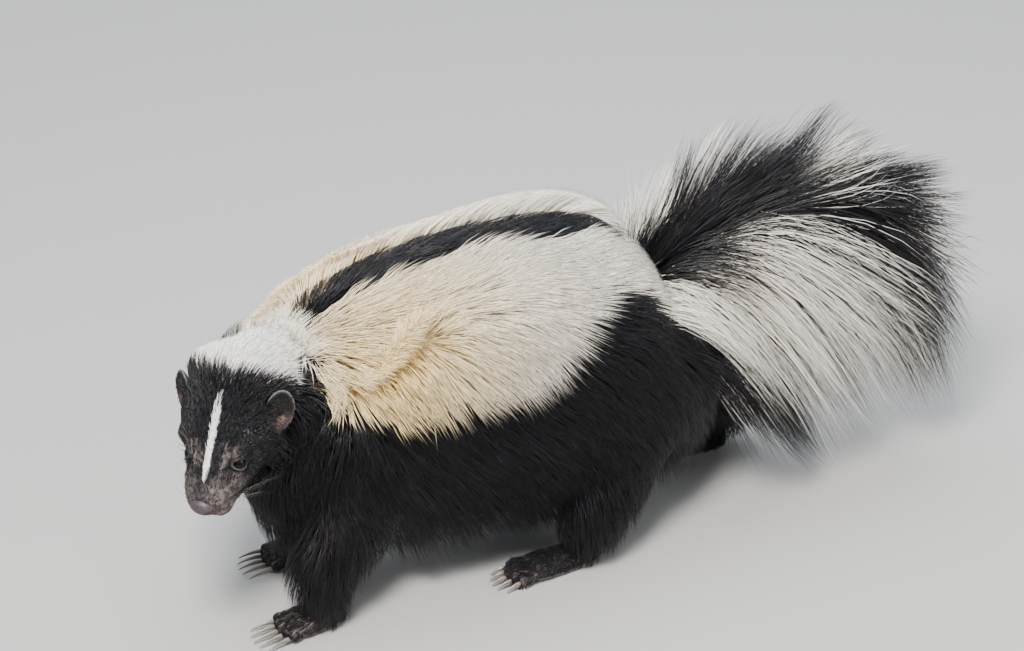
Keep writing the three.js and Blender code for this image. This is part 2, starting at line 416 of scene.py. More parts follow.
def array_mesh(name, points, triangles, colours, uv=None):
    """A smooth-shaded mesh of triangles with a colour at each point and a UV place at each point."""
    mesh = bpy.data.meshes.new(name)
    mesh.vertices.add(len(points))
    mesh.vertices.foreach_set("co", to_row(points).astype(np.float32).ravel())
    mesh.loops.add(triangles.size)
    mesh.loops.foreach_set("vertex_index", triangles.astype(np.int32).ravel())
    mesh.polygons.add(len(triangles))
    mesh.polygons.foreach_set("loop_start", np.arange(0, triangles.size, 3, dtype=np.int32))
    mesh.polygons.foreach_set("use_smooth", np.ones(len(triangles), bool))
    mesh.update(calc_edges=True)
    paint(mesh, colours)
    if uv is not None:
        layer = mesh.uv_layers.new(name="OFBake")
        layer.uv.foreach_set("vector", uv[triangles.ravel()].astype(np.float32).ravel())
    return mesh


def paint(mesh, colours):
    """Stores a colour for each point in the attribute that the materials read."""
    layer = mesh.color_attributes.new("coat", "FLOAT_COLOR", "POINT")
    rgba = np.ones((len(colours), 4), np.float32)
    rgba[:, :3] = colours
    layer.data.foreach_set("color", rgba.ravel())


def place_piece(name, mesh, material, slot, *nodes):
    piece = bpy.data.objects.new(name, mesh)
    bpy.context.scene.collection.objects.link(piece)
    mesh.materials.clear()
    mesh.materials.append(material)
    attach(piece, "root")
    if nodes:
        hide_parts(*nodes)
    return piece


def bmesh_points(bm):
    return np.array([v.co for v in bm.verts])


def finish_bmesh(name, bm, colours):
    """A mesh from a bmesh in the animal's millimetres, smooth, facing out and coloured."""
    bmesh.ops.recalc_face_normals(bm, faces=bm.faces)
    for v, p in zip(bm.verts, to_row(bmesh_points(bm))):
        v.co = p
    for face in bm.faces:
        face.smooth = True
    mesh = bpy.data.meshes.new(name)
    bm.to_mesh(mesh)
    bm.free()
    paint(mesh, colours)
    return mesh


# Materials
class Value:
    """A shader socket that Python's operators work on."""

    def __init__(self, tree, socket):
        self.tree, self.socket = tree, socket

    def _math(self, operation, *terms):
        return self.tree.node("ShaderNodeMath", {"operation": operation}, dict(enumerate(terms)))["Value"]

    def __add__(self, other):
        return self._math("ADD", self, other)

    def __sub__(self, other):
        return self._math("SUBTRACT", self, other)

    def __mul__(self, other):
        return self._math("MULTIPLY", self, other)

    def __rsub__(self, other):
        return self._math("SUBTRACT", other, self)

    __radd__ = __add__
    __rmul__ = __mul__


class Tree:
    """A material under construction."""

    def __init__(self, name):
        self.material = bpy.data.materials.new(name)
        self.material.use_nodes = True
        self.nodes, self.links = self.material.node_tree.nodes, self.material.node_tree.links
        self.shader = self.nodes["Principled BSDF"]

    def node(self, kind, settings=None, inputs=None):
        """Adds a node and returns its outputs by name, ready for more maths."""
        made = self.nodes.new(kind)
        for key, value in (settings or {}).items():
            setattr(made, key, value)
        for key, value in (inputs or {}).items():
            self.put(made.inputs[key], value)
        return {s.name: Value(self, s) for s in made.outputs if s.enabled}

    def put(self, socket, value):
        if isinstance(value, Value):
            self.links.new(value.socket, socket)
        else:
            socket.default_value = value

    def surface(self, **inputs):
        """Sets the main shader's inputs by name, with underscores for spaces."""
        for key, value in inputs.items():
            self.put(self.shader.inputs[key.replace("_", " ")], value)
        return self.material

    def mix(self, factor, a, b, mode="MIX"):
        made = self.nodes.new("ShaderNodeMix")
        made.data_type, made.blend_type = "RGBA", mode
        for index, value in ((0, factor), (6, a), (7, b)):
            self.put(made.inputs[index], value)
        return Value(self, made.outputs[2])

    def coat(self):
        return self.node("ShaderNodeAttribute", {"attribute_name": "coat"})["Color"]

    def noise(self, scale, detail=3.0):
        place = self.node("ShaderNodeTexCoord")["Object"]
        inputs = {"Vector": place, "Scale": scale, "Detail": detail}
        return self.node("ShaderNodeTexNoise", None, inputs)["Fac"]

    def bump(self, height, strength, distance):
        inputs = {"Height": height, "Strength": strength, "Distance": distance}
        return self.node("ShaderNodeBump", None, inputs)["Normal"]

    def grey(self, level):
        return self.node("ShaderNodeCombineColor", None, {0: level, 1: level, 2: level})["Color"]


def hair_material(look):
    tree = Tree("hair")
    shade = tree.noise(260.0) * 0.5 + 0.75
    return tree.surface(
        Base_Color=tree.mix(1.0, tree.coat(), tree.grey(shade), "MULTIPLY"),
        Roughness=look.hair_roughness,
        Specular_IOR_Level=look.hair_shine,
        Sheen_Weight=look.hair_sheen,
        Sheen_Roughness=0.35,
        Sheen_Tint=(0.75, 0.85, 1.0, 1.0),
    )


def skin_material():
    tree = Tree("skin")
    pores = tree.noise(900.0, 4.0)
    folds = tree.noise(240.0)
    return tree.surface(
        Base_Color=tree.mix(0.35, tree.coat(), tree.grey(pores), "OVERLAY"),
        Roughness=folds * 0.2 + 0.5,
        Specular_IOR_Level=0.3,
        Normal=tree.bump(pores + folds, 0.5, 0.0004),
    )


def wet_material(name, roughness, coat, shine=0.5, bumps=0.15):
    """Horn, moist skin or an eye, coloured by the attribute."""
    tree = Tree(name)
    grain = tree.noise(1500.0)
    return tree.surface(
        Base_Color=tree.coat(),
        Roughness=grain * 0.1 + roughness,
        Coat_Weight=coat,
        Specular_IOR_Level=shine,
        Normal=tree.bump(grain, bumps, 0.0002),
    )


# The properties that the panel shows
def distance(name, default, description):
    return bpy.props.FloatProperty(
        name=name, description=description, default=default, subtype="DISTANCE", unit="LENGTH"
    )


def colour(name, default, description):
    return bpy.props.FloatVectorProperty(
        name=name, description=description, default=default, subtype="COLOR", min=0, max=1
    )


def number(name, default, description):
    return bpy.props.FloatProperty(name=name, description=description, default=default)


class SkunkSizes(bpy.types.PropertyGroup):
    skin_detail: distance("Skin detail", 0.0012, "Size of the skin's finest faces")
    back_hair: distance("Back hair", 0.034, "Length of the hair on the back and flanks")
    tail_hair: distance("Tail hair", 0.118, "Length of the hair on the tail")
    tuft_width: distance("Tuft width", 0.0006, "Width of a tuft of body hair")
    density: number("Density", 1.0, "Number of tufts, as a share of the usual")


class SkunkLook(bpy.types.PropertyGroup):
    black: colour("Black", (0.004, 0.004, 0.0058), "Black hair")
    brown: colour("Brown", (0.016, 0.011, 0.009), "Faded black hair")
    white: colour("White", (0.94, 0.93, 0.91), "Tips of the white hair")
    cream: colour("Cream", (0.92, 0.66, 0.22), "Roots of the white hair")
    muzzle: colour("Muzzle", (0.106, 0.081, 0.076), "Skin that shows through the short hair of the face")
    sole: colour("Sole", (0.26, 0.21, 0.21), "Naked skin of the paws")
    blue: colour("Blue", (0.022, 0.026, 0.034), "Hair that catches the sky")
    # Painted highlight: a blue-grey colour given to a few black strands in place of the sky's glints on black
    # hair.
    pupil: colour("Pupil", (0.001, 0.001, 0.001), "Middle of the eye")
    iris: colour("Iris", (0.006, 0.0035, 0.002), "Ring round the pupil")
    nose_front: colour("Nose front", (0.078, 0.034, 0.036), "Lower part of the nose pad")
    nose_top: colour("Nose top", (0.050, 0.035, 0.042), "Upper part of the nose pad")
    # Nostril colour: partly the nostrils' own dark skin, partly painted shade for openings deeper than the
    # pits pressed into the pad.
    nostril: colour("Nostril", (0.02, 0.01, 0.01), "Inside of the nostrils")
    horn: colour("Horn", (0.17, 0.145, 0.12), "Claws")
    hair_roughness: number("Hair roughness", 0.33, "Roughness of a hair")
    hair_shine: number("Hair shine", 0.32, "Strength of a hair's highlight")
    hair_sheen: number("Hair sheen", 0.015, "Soft glow at the edge of a hair")


# Skin
def eye_frame(side):
    """An eyeball's centre and the rows forward, upward and outward of its opening."""
    out = unit(aside([-0.22, 0.86, 0.46], side))
    along = unit(aside([-0.43, -0.51, 0.75], side))
    along = unit(along - out * (along @ out))
    rise = np.cross(out, along) * side
    return from_head(aside(EYE_AT, side)), np.array([along, rise, out]) @ HEAD_AXES


def eye_place(points, side):
    """How far out in the opening each point is (1 on its rim), its distance from the eyeball and its way."""
    centre, axes = eye_frame(side)
    off = points - centre
    far = np.linalg.norm(off, axis=1)
    a, b, c = (off @ axes.T).T * (EYE_RADIUS / np.maximum(far, 1e-6))
    rim = np.hypot(a / 4.3, b / 2.65)
    return np.where(c > 0, rim, 9.0), far, off / far[:, None]


def sculpt_face(points):
    """Presses the lids, the mouth line and the sockets into the skin's points."""
    local = to_head(points)
    back, right, up = local.T
    lip = -10.5 - 0.16 * back
    crease = np.exp(-(((up - lip) / 0.9) ** 2)) * smooth(2, 5, back) * smooth(36, 30, back) * (up < 0)
    inward = np.stack([0 * back, -np.sign(right), 0 * back], axis=1)
    local = local + (1.1 * crease)[:, None] * inward
    points = from_head(local)
    for side in SIDES.values():
        rim, far, way = eye_place(points, side)
        lid = EYE_RADIUS + 0.35 + 0.38 * np.exp(-(((rim - 1.22) / 0.18) ** 2))
        lid = np.where(rim < 1.0, EYE_RADIUS - 1.6, lid)
        hold = smooth(2.3, 1.45, rim) * (far < 13)
        points = points + way * ((lid - far) * hold)[:, None]
    return points


def ear_cup(ball):
    """Hollows the front of an ear's flat ellipsoid."""
    reach = np.hypot(ball[:, 1] / EAR_HALF_WIDTH, ball[:, 2] / EAR_HALF_HEIGHT)
    hollow = np.where(ball[:, 0] > 0, 4.4 * np.clip(1 - (reach / 0.93) ** 2, 0, 1) ** 0.6, 0)
    curl = 0.018 * ball[:, 1] ** 2
    return ball + np.stack([curl - hollow, 0 * reach, 0 * reach], axis=1)


# Places and radii of what swells each side of the head, in the head's frame.
HEAD_BULGES = {
    "whisker_pad": ((12, 7.4, -5.5), (11, 7.6, 6.6)),
    "upper_lip": ((5.6, 3.4, -3), (5.4, 5.6, 6.4)),
    "temple": ((44, 17, 4), (14, 9, 10)),
    "cheek": ((56, 20, -13), (19, 11, 14)),
    "brow": ((28, 12, 6.5), (9, 6, 5)),
}


def rough_skin():
    """All the flesh as overlapping closed forms in one bmesh."""
    bm = bmesh.new()
    for form in (TRUNK, NECK, HEAD, JAW, TAIL):
        form.add_to(bm)
    for name in LEGS:
        for form in [leg_form(name)] + paw_forms(name):
            form.add_to(bm, 28, 20)
    for side in SIDES.values():
        axes = ear_axes(side)
        centre = from_head(aside(EAR_AT, side))
        blob(bm, centre, (3.4, EAR_HALF_WIDTH, EAR_HALF_HEIGHT), axes, 32, ear_cup)
        blob(bm, centre - axes[2] * 9 - axes[0] * 3, (5, 7, 7), axes)
        for out, drop, long in ((-4.4, -3.5, 5.5), (3.8, -7, 4.5)):
            blob(bm, centre + axes[0] * 0.6 + axes[1] * out + axes[2] * drop, (2.4, 1.6, long), axes, 12)
        for place, radii in HEAD_BULGES.values():
            blob(bm, from_head(aside(place, side)), radii, HEAD_AXES)
    return bm


def evaluated(piece, name):
    """A mesh of the piece as its modifiers leave it."""
    bpy.context.view_layer.update()
    shown = piece.evaluated_get(bpy.context.evaluated_depsgraph_get())
    mesh = bpy.data.meshes.new_from_object(shown)
    mesh.name = name
    return mesh


def face_weight(points):
    """1 where the skin keeps its finest faces, 0 on the body under long hair."""
    back, right, up = to_head(points).T
    on_head = smooth(92, 78, back) * (np.hypot(right, up) < 50)
    paws = smooth(22, 16, points[:, 2])
    return np.maximum(on_head, paws)


def mesh_points(mesh):
    co = np.empty(len(mesh.vertices) * 3, np.float32)
    mesh.vertices.foreach_get("co", co)
    return co.reshape(-1, 3).astype(float) / MM - SHIFT


def set_mesh_points(mesh, points):
    mesh.vertices.foreach_set("co", to_row(points).astype(np.float32).ravel())
    mesh.update()


def refine(mesh, chosen):
    """Splits the faces whose points are all chosen, a function of points, into four."""
    bm = bmesh.new()
    bm.from_mesh(mesh)
    points = np.array([v.co for v in bm.verts]) / MM - SHIFT
    near = chosen(points)
    edges = [e for e in bm.edges if near[e.verts[0].index] and near[e.verts[1].index]]
    bmesh.ops.subdivide_edges(bm, edges=edges, cuts=1, use_grid_fill=True)
    bmesh.ops.triangulate(bm, faces=[f for f in bm.faces if len(f.verts) > 3])
    bm.to_mesh(mesh)
    bm.free()


def near_eyes(points):
    far = [np.linalg.norm(points - from_head(aside(EYE_AT, s)), axis=1) for s in SIDES.values()]
    return np.min(far, axis=0) < 10.5


def cream_share(points, label):
    """How creamy the roots of the white hair are: most on the shoulders, least on the head."""
    mirrored = points * (1, 0, 1) + np.abs(points) * (0, 1, 0)
    share = 0.25 + 0.75 * np.exp(-((np.linalg.norm(mirrored - CREAM_AT, axis=1) / CREAM_SPREAD) ** 2))
    share = np.where(label == LABELS["head"], 0.05, share)
    share = np.where(label == LABELS["tail"], 0.2, share)
    return np.where(label == LABELS["neck"], 0.1 + 0.2 * smooth(-150, -130, points[:, 0]), share)[:, None]


def skin_colours(points, look):
    label, _, _ = nearest_forms(points)
    white = markings(points, label)[:, None]
    cream = cream_share(points, label)
    black = np.array(look.black) * 1.3
    pale = np.array(look.white) * (1 - cream) + np.array(look.cream) * cream
    colours = black * (1 - white) + pale * 0.85 * white
    colours = np.where((label == LABELS["tail"])[:, None], black, colours)
    bare = bareness(points)[:, None]
    mottle = (0.72 + 0.6 * ripple(points, 2.0, 3) + 0.25 * ripple(points, 0.9, 5))[:, None]
    colours = colours * (1 - bare) + np.array(look.muzzle) * np.clip(mottle, 0.25, 1.6) * bare
    for side in SIDES.values():
        rim, far, way = eye_place(points, side)
        near = (smooth(1.9, 1.4, rim) * (far < 9))[:, None]
        colours = colours * (1 - near) + np.array([0.008, 0.006, 0.006]) * near
        lids = (smooth(0.9, 1.0, rim) * smooth(1.2, 1.06, rim) * (far < 8))[:, None]
        below = smooth(0.6, -0.8, (way @ eye_frame(side)[1].T)[:, 1] * 2)[:, None]
        colours = colours * (1 - lids) + (0.009 + 0.034 * below) * lids
        local = (points - from_head(aside(EAR_AT, side))) @ ear_axes(side).T
        inner = ((label == EAR_LABEL) & (local[:, 0] > -2))[:, None]
        rim = np.hypot(local[:, 1] / EAR_HALF_WIDTH, local[:, 2] / EAR_HALF_HEIGHT)
        edge = smooth(0.84, 0.97, rim)[:, None]
        low = smooth(3, -4, local[:, 2])[:, None]
        low = low * smooth(-2.4, 0.6, local[:, 0])[:, None]
        pinna = np.array([0.005, 0.004, 0.004]) * (1 - low) + np.array([0.055, 0.032, 0.027]) * low
        pinna = pinna * (1 - edge) + np.array([0.085, 0.078, 0.075]) * edge
        colours = np.where(inner, pinna, colours)
    paw = (np.isin(label, limb_labels("paw")) * smooth(4.5, 2, points[:, 2]))[:, None]
    return colours * (1 - paw) + np.array(look.sole) * paw


def bareness(points):
    """How much naked skin shows on the face: most on the muzzle and round the eyes."""
    back, right, up = to_head(points).T
    patch = ripple(points, 7, 11) * 0.3
    muzzle = smooth(24, 7, back - 0.35 * np.abs(right) + patch * 14) * smooth(42, 30, back)
    muzzle = muzzle * (1 - 0.6 * smooth(9, 3, np.abs(right)) * smooth(2, 6, up))
    cheek = np.exp(-(((back - 20) / 9) ** 2) - ((up + 3) / 6) ** 2) * 0.9
    eyes = 0
    for side in SIDES.values():
        _, far, _ = eye_place(points, side)
        eyes = np.maximum(eyes, smooth(14.5, 8, far + patch * 13))
    behind = np.exp(-(((back - 45) / 4) ** 2) - ((np.abs(right) - 22) / 5) ** 2 - ((up - 1) / 4) ** 2)
    return np.clip(np.maximum.reduce([muzzle, cheek, eyes * 0.95, behind * 0.8]) * (back < 60), 0, 1)


def build_skin(sizes, look):
    bm = rough_skin()
    rough = bpy.data.objects.new("rough", finish_bmesh("rough", bm, np.zeros((len(bm.verts), 3))))
    bpy.context.scene.collection.objects.link(rough)
    remesh = rough.modifiers.new("Remesh", "REMESH")
    remesh.mode, remesh.voxel_size = "VOXEL", sizes.skin_detail
    even = rough.modifiers.new("Smooth", "SMOOTH")
    even.factor, even.iterations = 0.5, 3
    rough.data = evaluated(rough, "rough")
    rough.modifiers.clear()
    fine = face_weight(mesh_points(rough.data))
    group = rough.vertex_groups.new(name="body")
    for level in np.unique(np.round(1 - fine, 1)):
        chosen = np.nonzero(np.round(1 - fine, 1) == level)[0]
        group.add(chosen.tolist(), float(level), "REPLACE")
    even = rough.modifiers.new("Smooth", "SMOOTH")
    even.factor, even.iterations, even.vertex_group = 0.5, 12, "body"
    thin = rough.modifiers.new("Decimate", "DECIMATE")
    thin.ratio, thin.vertex_group, thin.vertex_group_factor = 0.3, "body", 10
    mesh = evaluated(rough, "skin")
    bpy.data.objects.remove(rough)
    for _ in range(2):
        refine(mesh, near_eyes)
    points = sculpt_face(mesh_points(mesh))
    points[:, 2] = np.maximum(points[:, 2], 0)
    set_mesh_points(mesh, points)
    mesh.polygons.foreach_set("use_smooth", np.ones(len(mesh.polygons), bool))
    for layer in list(mesh.color_attributes):
        mesh.color_attributes.remove(layer)
    paint(mesh, skin_colours(points, look))
    flesh = ["trunk", "neck", "head", "lower_jaw", "tail"] + ["ear_" + s for s in SIDES]
    flesh += [part + n for n in LEGS for part in ("leg_", "paw_")]
    skin = place_piece("skin", mesh, skin_material(), "black_coat", *flesh)
    unwrap(skin)
    return skin


def unwrap(piece):
    bpy.context.view_layer.objects.active = piece
    piece.select_set(True)
    bpy.ops.object.mode_set(mode="EDIT")
    bpy.ops.mesh.select_all(action="SELECT")
    bpy.ops.uv.smart_project(angle_limit=math.radians(72), island_margin=0.003)
    bpy.ops.object.mode_set(mode="OBJECT")
    piece.select_set(False)
    piece.data.uv_layers[0].name = "OFBake"


# Coat
class Pelt:
    """The skin as the ground that hair grows on."""

    def __init__(self, mesh):
        mesh.calc_loop_triangles()
        self.points = mesh_points(mesh)
        self.corners = np.empty(len(mesh.loop_triangles) * 3, np.int32)
        mesh.loop_triangles.foreach_get("vertices", self.corners)
        self.corners = self.corners.reshape(-1, 3)
        loops = np.empty(self.corners.size, np.int32)
        mesh.loop_triangles.foreach_get("loops", loops)
        uv = np.empty(len(mesh.loops) * 2, np.float32)
        mesh.uv_layers["OFBake"].uv.foreach_get("vector", uv)
        self.uv = uv.reshape(-1, 2)[loops.reshape(-1, 3)]
        normals = np.empty(len(mesh.vertices) * 3, np.float32)
        mesh.vertex_normals.foreach_get("vector", normals)
        self.normals = normals.reshape(-1, 3)
        self.tree = BVHTree.FromPolygons(self.points.tolist(), self.corners.tolist())
        a, b, c = (self.points[self.corners[:, k]] for k in range(3))
        self.areas = np.linalg.norm(np.cross(b - a, c - a), axis=1) / 2
        self.middles = (a + b + c) / 3

    def sow(self, density, rng):
        """Roots at random, density of them to the square millimetre on each face: place, normal and UV."""
        wanted = self.areas * density
        count = rng.poisson(wanted.sum())
        face = rng.choice(len(wanted), count, p=wanted / wanted.sum())
        spread = rng.random((count, 2))
        folded = spread.sum(axis=1) > 1
        spread[folded] = 1 - spread[folded]
        share = np.column_stack([1 - spread.sum(axis=1), spread])
        root = np.einsum("nk,nkj->nj", share, self.points[self.corners[face]])
        normal = unit(np.einsum("nk,nkj->nj", share, self.normals[self.corners[face]]))
        return root, normal, np.einsum("nk,nkj->nj", share, self.uv[face])

    def settle(self, points):
        """The nearest places on the skin, and the normals there."""
        found = [self.tree.find_nearest(p)[:2] for p in points.tolist()]
        return np.array([f[0] for f in found]), np.array([f[1] for f in found])


def lie(points, normals):
    """The way the hair lies at each point, one long and along the skin."""
    label, weight, tangents = nearest_forms(points)
    x, y, z = points.T
    flows = tangents.copy()
    low = smooth(0.88, 0.1, normals[:, 2])
    chest = smooth(-95, -140, x)
    trunk = LABELS["trunk"]
    flows[:, trunk, 0] = 1 - 0.75 * chest * low
    flows[:, trunk, 1] = 0
    flows[:, trunk, 2] = -0.05 - 1.15 * low - 0.5 * chest
    flows[:, LABELS["neck"]] += np.stack([0 * x, 0.25 * np.sign(y), -0.2 - 0.6 * smooth(165, 145, z)], axis=1)
    _, right, up = to_head(points).T
    away = np.stack([np.ones_like(x), 0.012 * right, -0.25 * smooth(2, -10, up)], axis=1)
    flows[:, LABELS["head"]] = away @ HEAD_AXES
    for name in LEGS:
        flows[:, LABELS["leg_" + name], 0] += 0.35 * smooth(30, 80, z)
        flows[:, LABELS["paw_" + name]] = (-1, 0, -0.5)
    flow = np.einsum("nf,nfk->nk", weight, flows)
    off = from_whorl(points)
    away = unit(off - normals * (off * normals).sum(axis=1)[:, None])
    turned = smooth(-40, -70, x) * smooth(-152, -140, x)
    turned = turned * smooth(112, 132, z) * smooth(24, 42, np.abs(y + 10))
    turned = np.where(np.isin(label, [trunk, LABELS["neck"]]), turned, 0)[:, None]
    flow = unit(flow) * (1 - turned) + away * turned
    swirl = np.stack([ripple(points, 38, k) for k in (1.5, 9.5, 17.5)], axis=1)
    flow = flow + (0.22 + 0.16 * turned) * swirl
    return unit(flow - normals * (flow * normals).sum(axis=1)[:, None])


def on_rump(points):
    """1 on the top of the rump, where the hair runs on into the tail's."""
    return smooth(70, 115, points[:, 0]) * smooth(125, 150, points[:, 2])


def pick_guides(roots, per_lock, rng):
    """For each root, the nearest of the few hairs that the others are drawn to."""
    guides = np.nonzero(rng.random(len(roots)) < 1 / per_lock)[0]
    tree = KDTree(len(guides))
    for i, g in enumerate(guides):
        tree.insert(roots[g], i)
    tree.balance()
    return guides[[tree.find(r)[1] for r in roots.tolist()]]


def clump(paths, guides, pull, rng):
    """Draws the hairs' ends together into locks."""
    s = np.linspace(0, 1, paths.shape[1])[None, :, None]
    hold = pull * rng.uniform(0.4, 1.0, len(paths))[:, None, None] * s**1.4
    return paths + (paths[guides] - paths) * hold


def tuft_mesh(paths, flats, width, colours_root, colours_tip, uv, turn=0.45):
    """Solid three-sided hairs along the paths: points, triangles, colours and UV places."""
    count, rings = paths.shape[0], paths.shape[1] - 1
    s = np.linspace(0, 1, rings + 1)
    along = unit(np.gradient(paths, axis=1))
    side = unit(np.cross(along, flats[:, None, :]))
    lift = np.cross(side, along)
    taper = np.minimum(1, 0.55 + 1.8 * s) * (1 - s) ** 0.55
    wide = (width[:, None] * taper[None, :])[..., None]
    corners = [(-0.5, 0.0), (0.5, 0.0), (0.0, turn)]
    ring = np.stack([paths + wide * (a * side + b * lift) for a, b in corners], axis=2)[:, :rings]
    points = np.concatenate([ring.reshape(count, rings * 3, 3), paths[:, -1:]], axis=1)
    faces = [(0, 2, 1)]
    for k in range(rings - 1):
        for j in range(3):
            a, b = 3 * k + j, 3 * k + (j + 1) % 3
            faces += [(a, b, b + 3), (a, b + 3, a + 3)]
    last = 3 * (rings - 1)
    faces += [(last + j, last + (j + 1) % 3, 3 * rings) for j in range(3)]
    size = 3 * rings + 1
    triangles = np.array(faces)[None] + (np.arange(count) * size)[:, None, None]
    share = np.concatenate([np.repeat(s[:-1], 3), [1.0]])
    colours = colours_root[:, None] * (1 - share)[None, :, None] + colours_tip[:, None] * share[None, :, None]
    across = np.concatenate([np.tile([0.0, 1.0, 0.5], rings), [0.5]])
    patch = 0.003 * np.stack([across, share], axis=1) - 0.0015
    places = np.clip(uv[:, None] + patch[None], 0, 1)
    return points.reshape(-1, 3), triangles.reshape(-1, 3), colours.reshape(-1, 3), places.reshape(-1, 2)


MOST_TRIANGLES = 185000
HAIRS_PER_LOCK, HAIRS_PER_TAIL_LOCK = 12, 90
SEEDS = {"head": 11, "body": 12, "legs": 13, "tail": 14, "whiskers": 15}


def place_coat(name, paths, flats, width, root_colour, tip_colour, uv, look):
    """Builds the tufts as pieces small enough for the library, split from the head to the tail."""
    per = 6 * (paths.shape[1] - 2) + 4
    order = np.argsort(paths[:, 0, 0])
    parts = np.array_split(order, max(1, math.ceil(len(order) * per / MOST_TRIANGLES)))
    for i, part in enumerate(parts):
        rows = [a[part] for a in (paths, flats, width, root_colour, tip_colour, uv)]
        mesh = array_mesh(f"coat_{name}_{i + 1}", *tuft_mesh(*rows))
        material = bpy.data.materials.get("hair") or hair_material(look)
        place_piece(mesh.name, mesh, material, "white_coat" if name == "tail" else "black_coat")


# Share of the black hairs that carry the painted highlight colour instead of their own black.
PAINTED_GLINT_SHARE = 0.07


def hair_colours(points, label, white, look, rng):
    """Root and tip colours for hairs at the points."""
    shade = rng.uniform(0.6, 1.35, len(points))[:, None]
    faded = (rng.random(len(points)) ** 3)[:, None]
    black = (np.array(look.black) * (1 - faded) + np.array(look.brown) * faded) * shade
    # Painted highlight: a share of the black strands take the blue-grey glint colour.
    black = np.where(rng.random((len(points), 1)) < PAINTED_GLINT_SHARE, np.array(look.blue), black)
    cream = cream_share(points, label)
    shade = rng.uniform(0.86, 1.04, len(points))[:, None]
    pale = np.array(look.white)
    warm = pale * (1 - cream) + np.array(look.cream) * cream
    tip = pale * (1 - 0.72 * cream) + np.array(look.cream) * 0.72 * cream
    on = (white > 0.5)[:, None]
    return np.where(on, warm * shade, black * 0.8), np.where(on, tip * shade, black * 1.2)


def grow(pelt, density, describe, rings, look, name):
    """Grows short hair that follows the skin. describe gives each root's length, depth, width and hang."""
    rng = np.random.default_rng(SEEDS[name])
    root, normal, uv = pelt.sow(density, rng)
    label, _, _ = nearest_forms(root)
    white = markings(root, label)
    length, depth, width, hang = describe(root, normal, label, white)
    keep = length > 0.5
    root, normal, uv, label, white = root[keep], normal[keep], uv[keep], label[keep], white[keep]
    length, depth, width, hang = length[keep], depth[keep], width[keep], hang[keep]
    length = length * rng.uniform(0.72, 1.15, len(root))
    heading = lie(root, normal)
    stray = rng.normal(0, 0.14, (len(root), 1))
    heading = unit(heading + stray * np.cross(normal, heading))
    place, up = root, normal
    path = [root - normal * 0.4]
    for k in range(1, rings + 1):
        place, up = pelt.settle(place + heading * (length / rings)[:, None])
        up = unit(up + 0.5 * normal)
        heading = unit(heading - up * (heading * up).sum(axis=1)[:, None])
        share = k / rings
        rise = depth * (1 - (1 - share) ** 1.7)
        path.append(place + up * rise[:, None])
    traced = np.stack(path, axis=1)
    s = np.linspace(0, 1, rings + 1)[None, :, None]
    first = lie(root, normal)
    lifted = unit(first + normal * (depth / length)[:, None] * 1.4)
    lifted = unit(lifted + on_rump(root)[:, None] * (1.3, 0, 0.7))
    fall = np.array([0, 0, -0.45])
    hung = root[:, None] + length[:, None, None] * (lifted[:, None] * s + fall * s**2)
    hang = hang[:, None, None]
    paths = traced * (1 - hang) + hung * hang
    paths[:, :, 2] = np.maximum(paths[:, :, 2], 0.6)
    crossing = unit(np.cross(normal, first))
    wave = rng.normal(0, 0.035, (len(root), 1)) * length[:, None]
    paths += (wave * s[..., 0] ** 2)[..., None] * crossing[:, None]
    paths = clump(paths, pick_guides(root, HAIRS_PER_LOCK, rng), 0.36, rng)
    root_colour, tip_colour = hair_colours(root, label, white, look, rng)
    place_coat(name, paths, normal, width, root_colour, tip_colour, uv, look)


def main_label(pelt):
    return nearest_forms(pelt.middles)[0]


def grow_head(pelt, sizes, look):
    label = main_label(pelt)
    back = to_head(pelt.middles)[:, 0]
    bare = bareness(pelt.middles)
    density = np.where((label == LABELS["head"]) & (back > 3), 1.5 - 1.0 * bare, 0)
    density = np.where(back > 72, 1.1, density) * (label == LABELS["head"])
    density = np.where(label == EAR_LABEL, 0.7, density)
    eyes = np.min([eye_place(pelt.middles, s)[0] for s in SIDES.values()], axis=0)
    density = np.where((eyes < 1.3) & near_eyes(pelt.middles), 0, density)

    def describe(root, normal, label, white):
        back = to_head(root)[:, 0]
        length = np.interp(back, [0, 12, 30, 48, 66, 76, 90, 110], [1.5, 2.2, 3.6, 6.0, 10, 15, 16, 22])
        depth = np.interp(back, [0, 30, 48, 60, 74, 86, 98, 112], [0.4, 0.9, 1.5, 3.2, 8, 14, 17, 15])
        in_ear = np.zeros(len(root), bool)
        for side in SIDES.values():
            local = (root - from_head(aside(EAR_AT, side))) @ ear_axes(side).T
            facing = (normal * ear_axes(side)[0]).sum(axis=1) > 0.2
            in_ear |= facing & (np.abs(local[:, 2]) < 16) & (np.abs(local[:, 1]) < 11)
        on_ear = label == EAR_LABEL
        length = np.where(on_ear, np.where(in_ear, 1.6, 3.0), length)
        depth = np.where(on_ear, 0.5, depth)
        width = np.interp(back, [0, 30, 70, 90], [0.3, 0.4, 0.5, 0.55])
        return length, depth, width, 0.75 * smooth(76, 86, back) * (white > 0.5)

    grow(pelt, density * sizes.density, describe, 3, look, "head")


